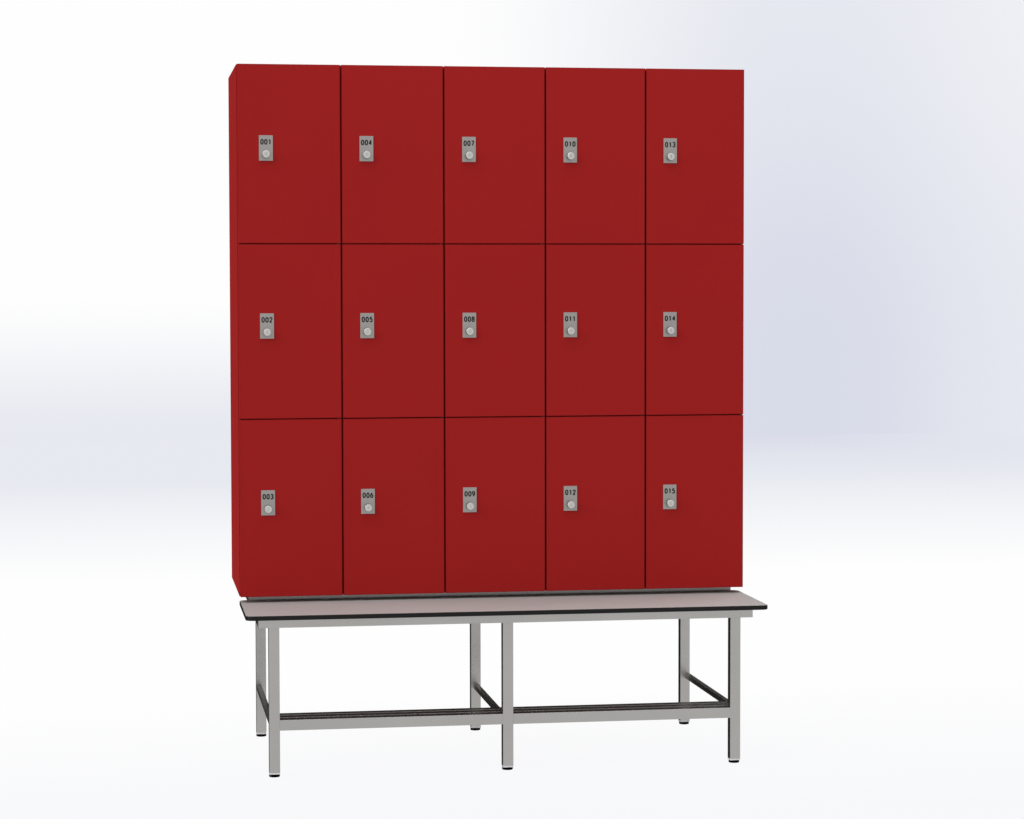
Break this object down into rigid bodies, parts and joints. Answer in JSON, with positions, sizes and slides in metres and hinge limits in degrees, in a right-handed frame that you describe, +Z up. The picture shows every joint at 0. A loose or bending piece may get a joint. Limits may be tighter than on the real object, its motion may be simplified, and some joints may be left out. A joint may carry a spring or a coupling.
{
  "type": "locker bank with bench",
  "caption": "Bank of numbered box lockers with hinged doors and cam locks, standing on a steel bench frame with a laminate seat in front and a shoe rack below.",
  "frame": {"origin": "floor level, middle of the width and of the depth", "axes": "+X to the right seen from the front, +Y to the back, +Z up"},
  "size_m": [1.5, 0.823, 2.024],
  "materials": {
    "door_board": "red melamine faced board, satin",
    "carcass_board": "red melamine faced board, satin",
    "back_board": "red melamine faced board, satin",
    "dark_steel": "black zinc plate",
    "screw_steel": "bright zinc plate",
    "seat_laminate": "grey compact laminate with a black core",
    "frame_paint": "aluminium-grey powder coat, satin",
    "cap_plastic": "pale grey moulded end cap",
    "foot_rubber": "black moulded rubber pad",
    "lock_metal": "satin nickel plate",
    "lock_chrome": "polished nickel"
  },
  "bodies": {
    "carcass": {"side_panels": "carcass_board", "bottom_panel": "carcass_board", "top_panel": "carcass_board", "back_panel": "back_board", "partitions": "carcass_board", "shelves": "carcass_board", "hinge_plates": "dark_steel", "strike_blocks": "dark_steel", "fixings": "screw_steel", "seat_board": "seat_laminate", "bench_legs": "frame_paint", "bench_rails": "frame_paint", "foot_caps": "cap_plastic", "foot_pads": "foot_rubber", "plinth_frame": "frame_paint"},
    "door_01": {"door_panel_01": "door_board", "door_hardware_01": "lock_metal"},
    "lock_01": {"lock_01": "lock_chrome"},
    "door_02": {"door_panel_02": "door_board", "door_hardware_02": "lock_metal"},
    "lock_02": {"lock_02": "lock_chrome"},
    "door_03": {"door_panel_03": "door_board", "door_hardware_03": "lock_metal"},
    "lock_03": {"lock_03": "lock_chrome"},
    "door_04": {"door_panel_04": "door_board", "door_hardware_04": "lock_metal"},
    "lock_04": {"lock_04": "lock_chrome"},
    "door_05": {"door_panel_05": "door_board", "door_hardware_05": "lock_metal"},
    "lock_05": {"lock_05": "lock_chrome"},
    "door_06": {"door_panel_06": "door_board", "door_hardware_06": "lock_metal"},
    "lock_06": {"lock_06": "lock_chrome"},
    "door_07": {"door_panel_07": "door_board", "door_hardware_07": "lock_metal"},
    "lock_07": {"lock_07": "lock_chrome"},
    "door_08": {"door_panel_08": "door_board", "door_hardware_08": "lock_metal"},
    "lock_08": {"lock_08": "lock_chrome"},
    "door_09": {"door_panel_09": "door_board", "door_hardware_09": "lock_metal"},
    "lock_09": {"lock_09": "lock_chrome"},
    "door_10": {"door_panel_10": "door_board", "door_hardware_10": "lock_metal"},
    "lock_10": {"lock_10": "lock_chrome"},
    "door_11": {"door_panel_11": "door_board", "door_hardware_11": "lock_metal"},
    "lock_11": {"lock_11": "lock_chrome"},
    "door_12": {"door_panel_12": "door_board", "door_hardware_12": "lock_metal"},
    "lock_12": {"lock_12": "lock_chrome"},
    "door_13": {"door_panel_13": "door_board", "door_hardware_13": "lock_metal"},
    "lock_13": {"lock_13": "lock_chrome"},
    "door_14": {"door_panel_14": "door_board", "door_hardware_14": "lock_metal"},
    "lock_14": {"lock_14": "lock_chrome"},
    "door_15": {"door_panel_15": "door_board", "door_hardware_15": "lock_metal"},
    "lock_15": {"lock_15": "lock_chrome"}
  },
  "joints": [
    {"name": "door_01_hinge", "type": "hinge", "parent": "carcass", "child": "door_01", "pos_m": [-0.45925, -0.1005, 1.7665], "axis": [0, 0, 1], "range_deg": [0, 95]},
    {"name": "lock_01_turn", "type": "hinge", "parent": "door_01", "child": "lock_01", "pos_m": [-0.667, -0.1075, 1.765], "axis": [0, 1, 0], "range_deg": [0, 90]},
    {"name": "door_02_hinge", "type": "hinge", "parent": "carcass", "child": "door_02", "pos_m": [-0.45925, -0.1005, 1.254], "axis": [0, 0, 1], "range_deg": [0, 95]},
    {"name": "lock_02_turn", "type": "hinge", "parent": "door_02", "child": "lock_02", "pos_m": [-0.667, -0.1075, 1.2525], "axis": [0, 1, 0], "range_deg": [0, 90]},
    {"name": "door_03_hinge", "type": "hinge", "parent": "carcass", "child": "door_03", "pos_m": [-0.45925, -0.1005, 0.7415], "axis": [0, 0, 1], "range_deg": [0, 95]},
    {"name": "lock_03_turn", "type": "hinge", "parent": "door_03", "child": "lock_03", "pos_m": [-0.667, -0.1075, 0.74], "axis": [0, 1, 0], "range_deg": [0, 90]},
    {"name": "door_04_hinge", "type": "hinge", "parent": "carcass", "child": "door_04", "pos_m": [-0.15925, -0.1005, 1.7665], "axis": [0, 0, 1], "range_deg": [0, 95]},
    {"name": "lock_04_turn", "type": "hinge", "parent": "door_04", "child": "lock_04", "pos_m": [-0.3765, -0.1075, 1.765], "axis": [0, 1, 0], "range_deg": [0, 90]},
    {"name": "door_05_hinge", "type": "hinge", "parent": "carcass", "child": "door_05", "pos_m": [-0.15925, -0.1005, 1.254], "axis": [0, 0, 1], "range_deg": [0, 95]},
    {"name": "lock_05_turn", "type": "hinge", "parent": "door_05", "child": "lock_05", "pos_m": [-0.3765, -0.1075, 1.2525], "axis": [0, 1, 0], "range_deg": [0, 90]},
    {"name": "door_06_hinge", "type": "hinge", "parent": "carcass", "child": "door_06", "pos_m": [-0.15925, -0.1005, 0.7415], "axis": [0, 0, 1], "range_deg": [0, 95]},
    {"name": "lock_06_turn", "type": "hinge", "parent": "door_06", "child": "lock_06", "pos_m": [-0.3765, -0.1075, 0.74], "axis": [0, 1, 0], "range_deg": [0, 90]},
    {"name": "door_07_hinge", "type": "hinge", "parent": "carcass", "child": "door_07", "pos_m": [0.14075, -0.1005, 1.7665], "axis": [0, 0, 1], "range_deg": [0, 95]},
    {"name": "lock_07_turn", "type": "hinge", "parent": "door_07", "child": "lock_07", "pos_m": [-0.0765, -0.1075, 1.765], "axis": [0, 1, 0], "range_deg": [0, 90]},
    {"name": "door_08_hinge", "type": "hinge", "parent": "carcass", "child": "door_08", "pos_m": [0.14075, -0.1005, 1.254], "axis": [0, 0, 1], "range_deg": [0, 95]},
    {"name": "lock_08_turn", "type": "hinge", "parent": "door_08", "child": "lock_08", "pos_m": [-0.0765, -0.1075, 1.2525], "axis": [0, 1, 0], "range_deg": [0, 90]},
    {"name": "door_09_hinge", "type": "hinge", "parent": "carcass", "child": "door_09", "pos_m": [0.14075, -0.1005, 0.7415], "axis": [0, 0, 1], "range_deg": [0, 95]},
    {"name": "lock_09_turn", "type": "hinge", "parent": "door_09", "child": "lock_09", "pos_m": [-0.0765, -0.1075, 0.74], "axis": [0, 1, 0], "range_deg": [0, 90]},
    {"name": "door_10_hinge", "type": "hinge", "parent": "carcass", "child": "door_10", "pos_m": [0.44075, -0.1005, 1.7665], "axis": [0, 0, 1], "range_deg": [0, 95]},
    {"name": "lock_10_turn", "type": "hinge", "parent": "door_10", "child": "lock_10", "pos_m": [0.2235, -0.1075, 1.765], "axis": [0, 1, 0], "range_deg": [0, 90]},
    {"name": "door_11_hinge", "type": "hinge", "parent": "carcass", "child": "door_11", "pos_m": [0.44075, -0.1005, 1.254], "axis": [0, 0, 1], "range_deg": [0, 95]},
    {"name": "lock_11_turn", "type": "hinge", "parent": "door_11", "child": "lock_11", "pos_m": [0.2235, -0.1075, 1.2525], "axis": [0, 1, 0], "range_deg": [0, 90]},
    {"name": "door_12_hinge", "type": "hinge", "parent": "carcass", "child": "door_12", "pos_m": [0.44075, -0.1005, 0.7415], "axis": [0, 0, 1], "range_deg": [0, 95]},
    {"name": "lock_12_turn", "type": "hinge", "parent": "door_12", "child": "lock_12", "pos_m": [0.2235, -0.1075, 0.74], "axis": [0, 1, 0], "range_deg": [0, 90]},
    {"name": "door_13_hinge", "type": "hinge", "parent": "carcass", "child": "door_13", "pos_m": [0.74075, -0.1005, 1.7665], "axis": [0, 0, 1], "range_deg": [0, 95]},
    {"name": "lock_13_turn", "type": "hinge", "parent": "door_13", "child": "lock_13", "pos_m": [0.5235, -0.1075, 1.765], "axis": [0, 1, 0], "range_deg": [0, 90]},
    {"name": "door_14_hinge", "type": "hinge", "parent": "carcass", "child": "door_14", "pos_m": [0.74075, -0.1005, 1.254], "axis": [0, 0, 1], "range_deg": [0, 95]},
    {"name": "lock_14_turn", "type": "hinge", "parent": "door_14", "child": "lock_14", "pos_m": [0.5235, -0.1075, 1.2525], "axis": [0, 1, 0], "range_deg": [0, 90]},
    {"name": "door_15_hinge", "type": "hinge", "parent": "carcass", "child": "door_15", "pos_m": [0.74075, -0.1005, 0.7415], "axis": [0, 0, 1], "range_deg": [0, 95]},
    {"name": "lock_15_turn", "type": "hinge", "parent": "door_15", "child": "lock_15", "pos_m": [0.5235, -0.1075, 0.74], "axis": [0, 1, 0], "range_deg": [0, 90]}
  ]
}
